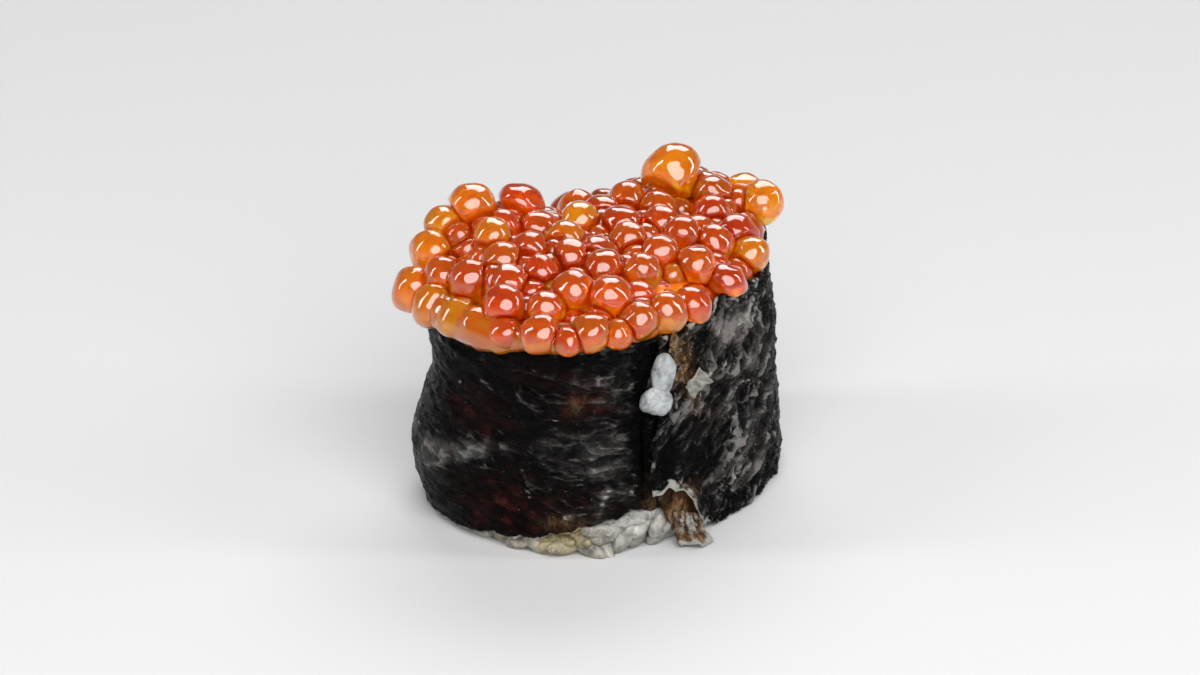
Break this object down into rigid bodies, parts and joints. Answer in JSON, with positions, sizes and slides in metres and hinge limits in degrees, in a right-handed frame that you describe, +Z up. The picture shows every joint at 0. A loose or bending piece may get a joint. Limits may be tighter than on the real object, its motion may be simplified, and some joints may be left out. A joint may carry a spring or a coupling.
{
  "type": "gunkan sushi",
  "caption": "Oval gunkan sushi: pressed rice wrapped in a strip of nori with a lapped seam, topped with a heaped mound of orange salmon roe that spills over the rim.",
  "frame": {"origin": "on the resting plane, under the middle of the bounding box", "axes": "+X along the long axis of the oval, -Y towards the long side that carries the seam of the wrap, +Z up"},
  "size_m": [0.0526, 0.044, 0.0411],
  "materials": {
    "rice": "cooked short-grain rice, moist and slightly translucent, off-white",
    "nori": "moist pressed seaweed sheet, nearly black with a green-brown cast, wrinkled satin sheen",
    "roe": "wet translucent orange fish eggs"
  },
  "bodies": {
    "root": {"rice": "rice", "nori": "nori", "roe": "roe", "rice_grain_upper": "rice", "rice_grain_lower": "rice"}
  },
  "joints": []
}
